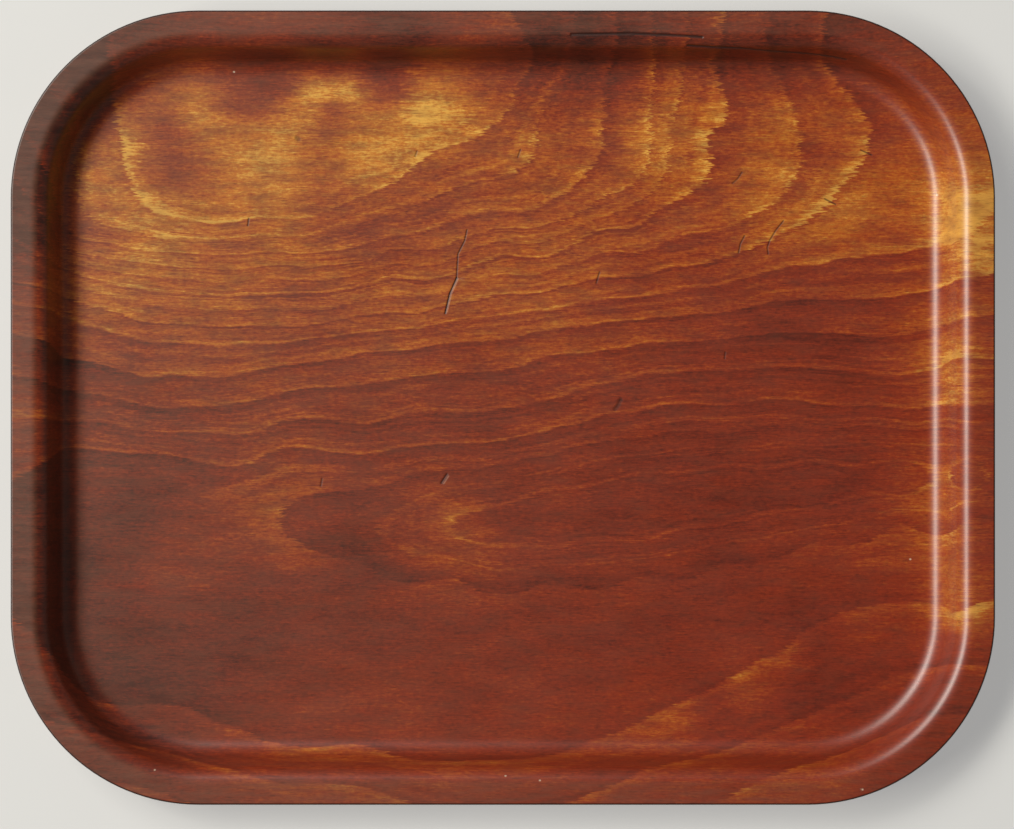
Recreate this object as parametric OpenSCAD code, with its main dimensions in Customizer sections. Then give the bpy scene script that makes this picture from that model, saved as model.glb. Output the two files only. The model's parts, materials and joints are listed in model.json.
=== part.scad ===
// Serving tray of press-moulded plywood.
// Five veneers and the four sheets of dry glue film between them are laid up flat,
// closed in a heated mould and trimmed all round, so every layer is a shell that
// follows the same section: floor, cove, sloping wall, lip and flat rim.
// The tray lies flat: +Z is up, X runs along its length, and the origin is the
// centre of the underside.

/* [Outline] */
// Length of the tray over the rim
tray_length = 430; // [360:1:520]
// Width of the tray over the rim
tray_width = 347; // [290:1:420]
// Radius of the four corners, at the trimmed edge of the rim
corner_radius = 82; // [60:1:100]

/* [Section] */
// Height of the rim above the floor
rim_rise = 19; // [15:0.5:26]
// Slope of the wall from the horizontal, in degrees
wall_slope = 70; // [55:1:80]
// Radius of the cove between floor and wall, on the face
cove_radius = 9; // [6:0.5:12]
// Radius of the lip between wall and rim, on the face
lip_radius = 8; // [6:0.5:10]
// Width of the flat rim outside the lip
rim_flat = 9; // [6:0.5:14]
// Radius of the sanded edges at the trimmed edge
edge_radius = 0.9; // [0.3:0.1:1.2]

/* [Layers] */
// Thickness of the figured veneer on the face
face_thickness = 0.6; // [0.5:0.1:0.9]
// Thickness of each of the two crossbands
crossband_thickness = 0.8; // [0.6:0.1:1]
// Thickness of the core veneer
core_thickness = 0.8; // [0.6:0.1:1]
// Thickness of the veneer on the back
back_thickness = 0.6; // [0.5:0.1:0.9]
// Thickness of one sheet of glue film
film_thickness = 0.1; // [0.1:0.05:0.2]

/* [Hidden] */

$fn = 96;

// Flat pieces that each round bend of the section is drawn with.
bend_steps = 14;
// Flat pieces that one layer's share of a sanded edge is drawn with.
edge_steps = 5;

// Depth of each layer's upper surface below the face, counted down the stack.
face_film_depth = face_thickness;
upper_crossband_depth = face_film_depth + film_thickness;
upper_core_film_depth = upper_crossband_depth + crossband_thickness;
core_depth = upper_core_film_depth + film_thickness;
lower_core_film_depth = core_depth + core_thickness;
lower_crossband_depth = lower_core_film_depth + film_thickness;
back_film_depth = lower_crossband_depth + crossband_thickness;
back_depth = back_film_depth + film_thickness;
stack_thickness = back_depth + back_thickness;

// The wall's straight stretch makes up the rise that the two bends leave.
bends_rise = (cove_radius + lip_radius) * (1 - cos(wall_slope));
wall_straight = (rim_rise - bends_rise) / sin(wall_slope);

// Plan width of cove, wall and lip together, and the corner radius where the floor ends.
wall_plan = (cove_radius + lip_radius) * sin(wall_slope) + wall_straight * cos(wall_slope);
floor_corner_radius = corner_radius - rim_flat - wall_plan;

// Centres of the two bends, from the corner's centre and the table.
cove_centre = [floor_corner_radius, stack_thickness + cove_radius];
lip_centre = [corner_radius - rim_flat, stack_thickness + rim_rise - lip_radius];

// The middle of the tray, between the centres of its corners.
middle_length = tray_length - 2 * corner_radius;
middle_width = tray_width - 2 * corner_radius;

veneer_face_colour = "#8a3f22";
veneer_inner_colour = "#b98a5a";
veneer_back_colour = "#7a3b22";
film_colour = "#3b1f14";

// Points of the cove at one depth in the stack, from the floor up to the wall.
function cove_points(depth) = [
    for (i = [0 : bend_steps])
        let (slope = wall_slope * i / bend_steps)
        cove_centre + (cove_radius + depth) * [sin(slope), -cos(slope)]
];

// Points of the lip at one depth in the stack, from the wall out to the flat rim.
function lip_points(depth) = [
    for (i = [0 : bend_steps])
        let (slope = wall_slope * (1 - i / bend_steps))
        lip_centre + (lip_radius - depth) * [-sin(slope), cos(slope)]
];

// How far the sanded edge lies inside the trimmed edge at one depth in the stack.
function edge_setback(depth) =
    let (near = min(depth, stack_thickness - depth))
    near >= edge_radius ? 0 : edge_radius - sqrt(pow(edge_radius, 2) - pow(edge_radius - near, 2));

function edge_point(depth) = [
    corner_radius - edge_setback(depth),
    stack_thickness + rim_rise - depth
];

// Line that one depth in the stack follows, from the corner's centre out to the edge.
function surface_points(depth) = concat(
    [[0, stack_thickness - depth]],
    cove_points(depth),
    lip_points(depth),
    [edge_point(depth)]
);

function reversed(points) = [for (i = [len(points) - 1 : -1 : 0]) points[i]];

// Half section of one layer: X is the distance from the corner's centre and Y is height.
module layer_section(depth, thickness) {
    edge = [for (i = [1 : edge_steps - 1]) edge_point(depth + thickness * i / edge_steps)];
    polygon(concat(surface_points(depth), edge, reversed(surface_points(depth + thickness))));
}

// One layer of the tray: a flat middle, four straight sides and four turned corners.
module layer(depth, thickness) {
    translate([-middle_length / 2, -middle_width / 2, stack_thickness - depth - thickness])
        cube([middle_length, middle_width, thickness]);
    for (side = [0, 180]) {
        rotate(side) translate([middle_length / 2, middle_width / 2, 0])
            rotate([90, 0, 0]) linear_extrude(height = middle_width) layer_section(depth, thickness);
        rotate(side) translate([-middle_length / 2, middle_width / 2, 0])
            rotate([90, 0, 90]) linear_extrude(height = middle_length) layer_section(depth, thickness);
        rotate(side) translate([middle_length / 2, middle_width / 2, 0])
            rotate_extrude(angle = 90) layer_section(depth, thickness);
        rotate(side) translate([-middle_length / 2, middle_width / 2, 0])
            rotate(90) rotate_extrude(angle = 90) layer_section(depth, thickness);
    }
}

// Figured veneer on the face, its grain along the tray.
module face_veneer() {
    color(veneer_face_colour) layer(0, face_thickness);
}

// Glue film under the face veneer.
module face_glue_film() {
    color(film_colour) layer(face_film_depth, film_thickness);
}

// Crossband under the face, its grain across the tray.
module upper_crossband() {
    color(veneer_inner_colour) layer(upper_crossband_depth, crossband_thickness);
}

// Glue film on the upper side of the core.
module upper_core_glue_film() {
    color(film_colour) layer(upper_core_film_depth, film_thickness);
}

// Core veneer in the middle of the stack, its grain along the tray.
module core_veneer() {
    color(veneer_inner_colour) layer(core_depth, core_thickness);
}

// Glue film on the lower side of the core.
module lower_core_glue_film() {
    color(film_colour) layer(lower_core_film_depth, film_thickness);
}

// Crossband above the back, its grain across the tray.
module lower_crossband() {
    color(veneer_inner_colour) layer(lower_crossband_depth, crossband_thickness);
}

// Glue film above the back veneer.
module back_glue_film() {
    color(film_colour) layer(back_film_depth, film_thickness);
}

// Plainer veneer on the back, which the tray stands on.
module back_veneer() {
    color(veneer_back_colour) layer(back_depth, back_thickness);
}

face_veneer();
face_glue_film();
upper_crossband();
upper_core_glue_film();
core_veneer();
lower_core_glue_film();
lower_crossband();
back_glue_film();
back_veneer();
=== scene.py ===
# %% [markdown]
# # A serving tray of press-moulded plywood
# The tray is five sheets of veneer with dry glue film between them, pressed in a heated mould and
# trimmed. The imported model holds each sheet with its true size. This lesson makes every sheet again as a
# smooth shell, then gives the face its figured veneer, its stain, its lacquer and the marks of long use.

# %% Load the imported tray
import bmesh
import bpy
import json
import math
import numpy as np
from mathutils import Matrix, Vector
from types import SimpleNamespace


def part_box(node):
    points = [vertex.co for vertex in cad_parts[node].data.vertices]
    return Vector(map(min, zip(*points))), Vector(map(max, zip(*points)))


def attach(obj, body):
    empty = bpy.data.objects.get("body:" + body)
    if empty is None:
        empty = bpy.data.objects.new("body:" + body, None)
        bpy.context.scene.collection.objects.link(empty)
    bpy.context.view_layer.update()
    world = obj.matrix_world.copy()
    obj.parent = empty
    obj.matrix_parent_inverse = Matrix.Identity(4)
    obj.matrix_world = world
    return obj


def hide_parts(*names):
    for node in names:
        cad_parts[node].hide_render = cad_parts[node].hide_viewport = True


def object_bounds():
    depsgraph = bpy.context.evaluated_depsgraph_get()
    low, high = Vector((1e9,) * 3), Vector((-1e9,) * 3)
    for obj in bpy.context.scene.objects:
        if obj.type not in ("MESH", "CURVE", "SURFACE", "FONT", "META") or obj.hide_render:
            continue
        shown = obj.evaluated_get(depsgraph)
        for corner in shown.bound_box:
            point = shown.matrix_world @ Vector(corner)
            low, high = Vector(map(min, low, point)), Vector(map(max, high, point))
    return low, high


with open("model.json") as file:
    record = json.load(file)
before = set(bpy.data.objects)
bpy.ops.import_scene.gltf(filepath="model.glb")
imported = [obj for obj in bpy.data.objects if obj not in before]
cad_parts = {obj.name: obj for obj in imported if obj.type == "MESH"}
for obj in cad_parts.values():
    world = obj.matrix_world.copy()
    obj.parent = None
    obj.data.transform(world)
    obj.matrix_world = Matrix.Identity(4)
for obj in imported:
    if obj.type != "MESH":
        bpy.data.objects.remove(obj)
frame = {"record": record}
cad_box = [list(corner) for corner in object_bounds()]
MM = 0.001
length, width, height = (high - low for low, high in zip(*cad_box))
print("tray over all, mm:", [round(size / MM, 1) for size in (length, width, height)])

# %% [markdown]
# ## What each sheet inherits from the frame
# All the sheets share one mould, so a sheet is known by two numbers: how deep it lies under the face, and
# how thick it is. Its rim is the highest thing in its box, so both numbers come from the tops of the
# boxes. The mould's own radii and slope aren't in a box, so they are named here.

# %% Sizes of the mould and of the stack
CORNER_RADIUS = 82 * MM
RIM_FLAT = 9 * MM
RIM_RISE = 19 * MM
COVE_RADIUS = 9 * MM
LIP_RADIUS = 8 * MM
WALL_SLOPE = math.radians(70)
EDGE_RADIUS = 0.9 * MM

SHEETS = (
    "face_veneer",
    "face_glue_film",
    "upper_crossband",
    "upper_core_glue_film",
    "core_veneer",
    "lower_core_glue_film",
    "lower_crossband",
    "back_glue_film",
    "back_veneer",
)
stack = height - RIM_RISE
depths = [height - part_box(name)[1].z for name in SHEETS] + [stack]
print("stack, mm:", round(stack / MM, 2), "depths, mm:", [round(depth / MM, 2) for depth in depths])

# %% [markdown]
# ## One helper for every node tree
# Geometry Nodes and materials are built the same way: add a node, set its properties, then give each
# input a value or a link. One function does that and hands back one of the node's outputs, so trees read
# from top to bottom. Inputs come by name or number, or simply in order, as sums do.

# %% Add a node
MATH = "ShaderNodeMath"


def add(tree, kind, inputs=None, output=0, **settings):
    """Adds a node with its settings, and fills its inputs with values or with other nodes' outputs."""
    node = tree.nodes.new(kind)
    for name, value in settings.items():
        setattr(node, name, value)
    if isinstance(inputs, tuple):
        inputs = dict(enumerate(inputs))
    for key, value in (inputs or {}).items():
        socket = node.inputs[key] if isinstance(key, int) else next(
            socket for socket in node.inputs if socket.name == key and socket.enabled)
        for source in value if isinstance(value, list) else [value]:
            if isinstance(source, bpy.types.NodeSocket):
                tree.links.new(source, socket)
            else:
                socket.default_value = source
    return node if output is None else node.outputs[output]


# %% [markdown]
# ## Pressing a sheet in the mould
# A flat sheet becomes a tray when every line that runs out from its middle is bent twice: up at the cove
# and back at the lip. So the tree lays out a flat grid, keeps each point's place on the flat sheet for
# the wood's grain, and then moves the point along the mould's section. The grid is a flat middle and
# eight strips round it, one for each side and each corner. A strip's rows run out over the top of the
# sheet, down its trimmed edge and back underneath, so the shell closes on itself.

# %% The press as a Geometry Nodes tree
PRESS_SIZES = {
    "Length": length,
    "Width": width,
    "Corner Radius": CORNER_RADIUS,
    "Rim Flat": RIM_FLAT,
    "Rim Rise": RIM_RISE,
    "Cove Radius": COVE_RADIUS,
    "Lip Radius": LIP_RADIUS,
    "Wall Slope": WALL_SLOPE,
    "Edge Radius": EDGE_RADIUS,
    "Stack": stack,
    "Depth": 0.0,
    "Thickness": stack,
    "Cell": 10 * MM,
}
PRESS_COUNTS = {"Corner Columns": 32, "Bend Rows": 38, "Edge Rows": 4}
QUARTER_TURN = math.radians(90)
WELD_DISTANCE = 0.002 * MM


def press_tree():
    """Builds the tree that makes one pressed sheet from named sizes."""
    tree = bpy.data.node_groups.new("Pressed sheet", "GeometryNodeTree")
    for name, value in PRESS_SIZES.items():
        tree.interface.new_socket(name, in_out="INPUT", socket_type="NodeSocketFloat").default_value = value
    for name, value in PRESS_COUNTS.items():
        tree.interface.new_socket(name, in_out="INPUT", socket_type="NodeSocketInt").default_value = value
    tree.interface.new_socket("Finish", in_out="INPUT", socket_type="NodeSocketMaterial")
    tree.interface.new_socket("Geometry", in_out="OUTPUT", socket_type="NodeSocketGeometry")
    size = add(tree, "NodeGroupInput", output=None).outputs

    # The mould's section, from the corner's centre out: floor, cove, wall, lip and rim.
    bends = add(tree, MATH, (size["Cove Radius"], size["Lip Radius"]), operation="ADD")
    slope_sine = add(tree, MATH, (size["Wall Slope"],), operation="SINE")
    slope_cosine = add(tree, MATH, (size["Wall Slope"],), operation="COSINE")
    rise_share = add(tree, MATH, (1.0, slope_cosine), operation="SUBTRACT")
    bends_rise = add(tree, MATH, (bends, rise_share), operation="MULTIPLY")
    wall_rise = add(tree, MATH, (size["Rim Rise"], bends_rise), operation="SUBTRACT")
    wall = add(tree, MATH, (wall_rise, slope_sine), operation="DIVIDE")
    bends_plan = add(tree, MATH, (bends, slope_sine), operation="MULTIPLY")
    wall_plan = add(tree, MATH, (wall, slope_cosine, bends_plan), operation="MULTIPLY_ADD")
    inside_rim = add(tree, MATH, (size["Corner Radius"], size["Rim Flat"]), operation="SUBTRACT")
    floor = add(tree, MATH, (inside_rim, wall_plan), operation="SUBTRACT")
    cove_arc = add(tree, MATH, (size["Cove Radius"], size["Wall Slope"]), operation="MULTIPLY")
    wall_start = add(tree, MATH, (floor, cove_arc), operation="ADD")
    lip_start = add(tree, MATH, (wall_start, wall), operation="ADD")
    lip_arc = add(tree, MATH, (size["Lip Radius"], size["Wall Slope"]), operation="MULTIPLY")
    rim_start = add(tree, MATH, (lip_start, lip_arc), operation="ADD")
    sheet_end = add(tree, MATH, (rim_start, size["Rim Flat"]), operation="ADD")
    half_length = add(tree, MATH, (size["Length"], 0.5), operation="MULTIPLY")
    half_length = add(tree, MATH, (half_length, size["Corner Radius"]), operation="SUBTRACT")
    half_width = add(tree, MATH, (size["Width"], 0.5), operation="MULTIPLY")
    half_width = add(tree, MATH, (half_width, size["Corner Radius"]), operation="SUBTRACT")

    # Counts of columns and rows.
    half_cell = add(tree, MATH, (size["Cell"], 0.5), operation="MULTIPLY")
    long_columns = add(tree, MATH, (half_length, half_cell), operation="DIVIDE")
    long_columns = add(tree, MATH, (long_columns,), operation="CEIL")
    short_columns = add(tree, MATH, (half_width, half_cell), operation="DIVIDE")
    short_columns = add(tree, MATH, (short_columns,), operation="CEIL")
    floor_rows = add(tree, MATH, (floor, size["Cell"]), operation="DIVIDE")
    floor_rows = add(tree, MATH, (floor_rows,), operation="CEIL")
    top_rows = add(tree, MATH, (floor_rows, size["Bend Rows"]), operation="ADD")
    all_rows = add(tree, MATH, (top_rows, 2.0, size["Edge Rows"]), operation="MULTIPLY_ADD")

    place = add(tree, "GeometryNodeInputPosition")
    across = add(tree, "ShaderNodeSeparateXYZ", {0: place}, output=None).outputs

    def grid(columns, rows, centre, angle, row):
        """A grid whose points remember the centre that they turn about, their direction and their row."""
        mesh = add(tree, "GeometryNodeMeshGrid", {
            "Size X": 1.0,
            "Size Y": 1.0,
            "Vertices X": add(tree, MATH, (columns, 1.0), operation="ADD"),
            "Vertices Y": add(tree, MATH, (rows, 1.0), operation="ADD"),
        })
        for name, value in (("centre", centre), ("angle", angle), ("row", row)):
            kind = "FLOAT_VECTOR" if name == "centre" else "FLOAT"
            inputs = {"Geometry": mesh, "Name": name, "Value": value}
            mesh = add(tree, "GeometryNodeStoreNamedAttribute", inputs, data_type=kind, domain="POINT")
        return mesh

    along = add(tree, MATH, (across[0], 0.5), operation="ADD")
    up_strip = add(tree, MATH, (across[1], 0.5), operation="ADD")
    row = add(tree, MATH, (up_strip, all_rows), operation="MULTIPLY")
    turns = ((-1, 1), (1, 1), (1, -1), (-1, -1))
    strips = []
    for turn, (x, y) in enumerate(turns):
        next_x, next_y = turns[(turn + 1) % 4]
        facing = QUARTER_TURN * (1 - turn)
        side_x = add(tree, MATH, (along, next_x - x, x), operation="MULTIPLY_ADD")
        side_y = add(tree, MATH, (along, next_y - y, y), operation="MULTIPLY_ADD")
        side_centre = add(tree, "ShaderNodeCombineXYZ", {
            0: add(tree, MATH, (half_length, side_x), operation="MULTIPLY"),
            1: add(tree, MATH, (half_width, side_y), operation="MULTIPLY"),
        })
        corner_centre = add(tree, "ShaderNodeCombineXYZ", {
            0: add(tree, MATH, (half_length, float(next_x)), operation="MULTIPLY"),
            1: add(tree, MATH, (half_width, float(next_y)), operation="MULTIPLY"),
        })
        columns = short_columns if turn % 2 else long_columns
        strips.append(grid(columns, all_rows, side_centre, facing, row))
        turned = add(tree, MATH, (along, -QUARTER_TURN, facing), operation="MULTIPLY_ADD")
        strips.append(grid(size["Corner Columns"], all_rows, corner_centre, turned, row))
    twice_x = add(tree, MATH, (across[0], 2.0), operation="MULTIPLY")
    twice_y = add(tree, MATH, (across[1], 2.0), operation="MULTIPLY")
    middle = add(tree, "ShaderNodeCombineXYZ", {
        0: add(tree, MATH, (half_length, twice_x), operation="MULTIPLY"),
        1: add(tree, MATH, (half_width, twice_y), operation="MULTIPLY"),
    })
    upper_middle = grid(long_columns, short_columns, middle, 0.0, 0.0)
    lower_middle = grid(long_columns, short_columns, middle, 0.0, all_rows)
    lower_middle = add(tree, "GeometryNodeFlipFaces", {0: lower_middle})
    joined = add(tree, "GeometryNodeJoinGeometry", {0: strips + [upper_middle, lower_middle]})

    # Where each row lies on the flat sheet: its distance out, and its depth under the face.
    row = add(tree, "GeometryNodeInputNamedAttribute", {"Name": "row"}, data_type="FLOAT")
    rows_left = add(tree, MATH, (all_rows, row), operation="SUBTRACT")
    near_row = add(tree, MATH, (row, rows_left), operation="MINIMUM")
    on_floor = add(tree, "ShaderNodeMapRange", {0: near_row, 1: 0.0, 2: floor_rows, 3: 0.0, 4: floor})
    beyond = add(tree, MATH, (sheet_end, floor), operation="SUBTRACT")
    on_wall = add(tree, "ShaderNodeMapRange", {0: near_row, 1: floor_rows, 2: top_rows, 3: 0.0, 4: beyond})
    edge_end = add(tree, MATH, (top_rows, size["Edge Rows"]), operation="ADD")
    down = add(tree, "ShaderNodeMapRange", {0: row, 1: top_rows, 2: edge_end, 3: 0.0, 4: size["Thickness"]})
    depth = add(tree, MATH, (size["Depth"], down), operation="ADD")
    above_back = add(tree, MATH, (size["Stack"], depth), operation="SUBTRACT")
    near_face = add(tree, MATH, (depth, above_back), operation="MINIMUM")
    rounding = add(tree, MATH, (size["Edge Radius"], near_face), operation="SUBTRACT")
    rounding = add(tree, MATH, (rounding, 0.0), operation="MAXIMUM")
    rounding_squared = add(tree, MATH, (rounding, rounding), operation="MULTIPLY")
    radius_squared = add(tree, MATH, (size["Edge Radius"], size["Edge Radius"]), operation="MULTIPLY")
    left_squared = add(tree, MATH, (radius_squared, rounding_squared), operation="SUBTRACT")
    left = add(tree, MATH, (left_squared,), operation="SQRT")
    setback = add(tree, MATH, (size["Edge Radius"], left), operation="SUBTRACT")
    edge = add(tree, MATH, (sheet_end, setback), operation="SUBTRACT")
    out = add(tree, MATH, (on_floor, on_wall), operation="ADD")
    out = add(tree, MATH, (out, edge), operation="MINIMUM")

    # The place on the flat sheet is kept for the grain.
    centre = add(tree, "GeometryNodeInputNamedAttribute", {"Name": "centre"}, data_type="FLOAT_VECTOR")
    angle = add(tree, "GeometryNodeInputNamedAttribute", {"Name": "angle"}, data_type="FLOAT")
    facing = add(tree, "ShaderNodeCombineXYZ", {
        0: add(tree, MATH, (angle,), operation="COSINE"),
        1: add(tree, MATH, (angle,), operation="SINE"),
    })
    flat = add(tree, "ShaderNodeVectorMath", {0: facing, 1: centre, "Scale": out}, operation="SCALE")
    flat = add(tree, "ShaderNodeVectorMath", {0: flat, 1: centre}, operation="ADD")
    kept = joined
    for name, value, kind in (("sheet", flat, "FLOAT_VECTOR"), ("depth", depth, "FLOAT")):
        inputs = {"Geometry": kept, "Name": name, "Value": value}
        kept = add(tree, "GeometryNodeStoreNamedAttribute", inputs, data_type=kind, domain="POINT")

    # The press: how far each bend has turned, then how far out and how high the point ends.
    cove_turn = add(tree, "ShaderNodeMapRange", {
        0: out, 1: floor, 2: wall_start, 3: 0.0, 4: size["Wall Slope"]})
    up_wall = add(tree, "ShaderNodeMapRange", {0: out, 1: wall_start, 2: lip_start, 3: 0.0, 4: wall})
    lip_turn = add(tree, "ShaderNodeMapRange", {
        0: out, 1: lip_start, 2: rim_start, 3: 0.0, 4: size["Wall Slope"]})
    past_lip = add(tree, MATH, (out, rim_start), operation="SUBTRACT")
    on_rim = add(tree, MATH, (past_lip, 0.0), operation="MAXIMUM")
    lean = add(tree, MATH, (size["Wall Slope"], lip_turn), operation="SUBTRACT")
    slope = add(tree, MATH, (cove_turn, lip_turn), operation="SUBTRACT")
    angles = (cove_turn, lean, slope)
    cove_sine, lean_sine, sine = (add(tree, MATH, (value,), operation="SINE") for value in angles)
    cove_cosine, lean_cosine, cosine = (add(tree, MATH, (value,), operation="COSINE") for value in angles)
    reach = add(tree, MATH, (out, floor), operation="MINIMUM")
    reach = add(tree, MATH, (size["Cove Radius"], cove_sine, reach), operation="MULTIPLY_ADD")
    reach = add(tree, MATH, (up_wall, slope_cosine, reach), operation="MULTIPLY_ADD")
    lip_reach = add(tree, MATH, (slope_sine, lean_sine), operation="SUBTRACT")
    reach = add(tree, MATH, (size["Lip Radius"], lip_reach, reach), operation="MULTIPLY_ADD")
    reach = add(tree, MATH, (reach, on_rim), operation="ADD")
    cove_rise = add(tree, MATH, (1.0, cove_cosine), operation="SUBTRACT")
    rise = add(tree, MATH, (size["Cove Radius"], cove_rise), operation="MULTIPLY")
    rise = add(tree, MATH, (up_wall, slope_sine, rise), operation="MULTIPLY_ADD")
    lip_rise = add(tree, MATH, (lean_cosine, slope_cosine), operation="SUBTRACT")
    rise = add(tree, MATH, (size["Lip Radius"], lip_rise, rise), operation="MULTIPLY_ADD")
    reach = add(tree, MATH, (depth, sine, reach), operation="MULTIPLY_ADD")
    sunk = add(tree, MATH, (depth, cosine), operation="MULTIPLY")
    level = add(tree, MATH, (size["Stack"], rise), operation="ADD")
    level = add(tree, MATH, (level, sunk), operation="SUBTRACT")
    pressed = add(tree, "ShaderNodeVectorMath", {0: facing, "Scale": reach}, operation="SCALE")
    pressed = add(tree, "ShaderNodeVectorMath", {0: pressed, 1: centre}, operation="ADD")
    lifted = add(tree, "ShaderNodeCombineXYZ", {2: level})
    pressed = add(tree, "ShaderNodeVectorMath", {0: pressed, 1: lifted}, operation="ADD")
    shell = add(tree, "GeometryNodeSetPosition", {"Geometry": kept, "Position": pressed})
    for name in ("centre", "angle", "row"):
        shell = add(tree, "GeometryNodeRemoveAttribute", {"Geometry": shell, "Name": name})
    shell = add(tree, "GeometryNodeMergeByDistance", {"Geometry": shell, "Distance": WELD_DISTANCE})
    shell = add(tree, "GeometryNodeSetShadeSmooth", {"Geometry": shell})
    shell = add(tree, "GeometryNodeRealizeInstances", {"Geometry": shell})
    shell = add(tree, "GeometryNodeSetMaterial", {"Geometry": shell, "Material": size["Finish"]})
    add(tree, "NodeGroupOutput", {"Geometry": shell}, output=None)
    return tree


press = press_tree()
print("the press has", len(press.nodes), "nodes")

# %% [markdown]
# ## From tree to plain mesh
# The modifier's inputs are set by identifier before it first runs. Its result is copied into a plain mesh
# that keeps the sheet attribute, and edges sharper than a sanded corner stay crisp.

# %% Press one sheet
CRISP = math.radians(40)


def pressed_sheet(name, depth, thickness, finish, **changes):
    """Runs the press for one sheet and returns it as a plain mesh object."""
    carrier = bpy.data.objects.new(name + "_press", bpy.data.meshes.new(name + "_press"))
    bpy.context.scene.collection.objects.link(carrier)
    modifier = carrier.modifiers.new("Pressed sheet", "NODES")
    modifier.node_group = press
    values = {"Depth": depth, "Thickness": thickness, "Finish": finish, **changes}
    for item in press.interface.items_tree:
        if item.in_out == "INPUT" and item.name in values:
            modifier[item.identifier] = values[item.name]
    carrier.update_tag()
    evaluated = carrier.evaluated_get(bpy.context.evaluated_depsgraph_get())
    mesh = bpy.data.meshes.new_from_object(evaluated)
    bpy.data.objects.remove(carrier)
    mesh.name = name
    mesh.set_sharp_from_angle(angle=CRISP)
    piece = bpy.data.objects.new(name, mesh)
    bpy.context.scene.collection.objects.link(piece)
    return piece


# %% [markdown]
# ## Colours
# Colours are picked as the hex values of a paint card, and a shader wants linear light, so one function
# turns them.

# %% Hex to linear
def linear(hex_colour):
    """Turns an sRGB hex value into linear red, green, blue and alpha."""
    parts = [int(hex_colour[start:start + 2], 16) / 255 for start in (1, 3, 5)]
    parts = [part / 12.92 if part <= 0.04045 else ((part + 0.055) / 1.055) ** 2.4 for part in parts]
    return (*parts, 1.0)
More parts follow.
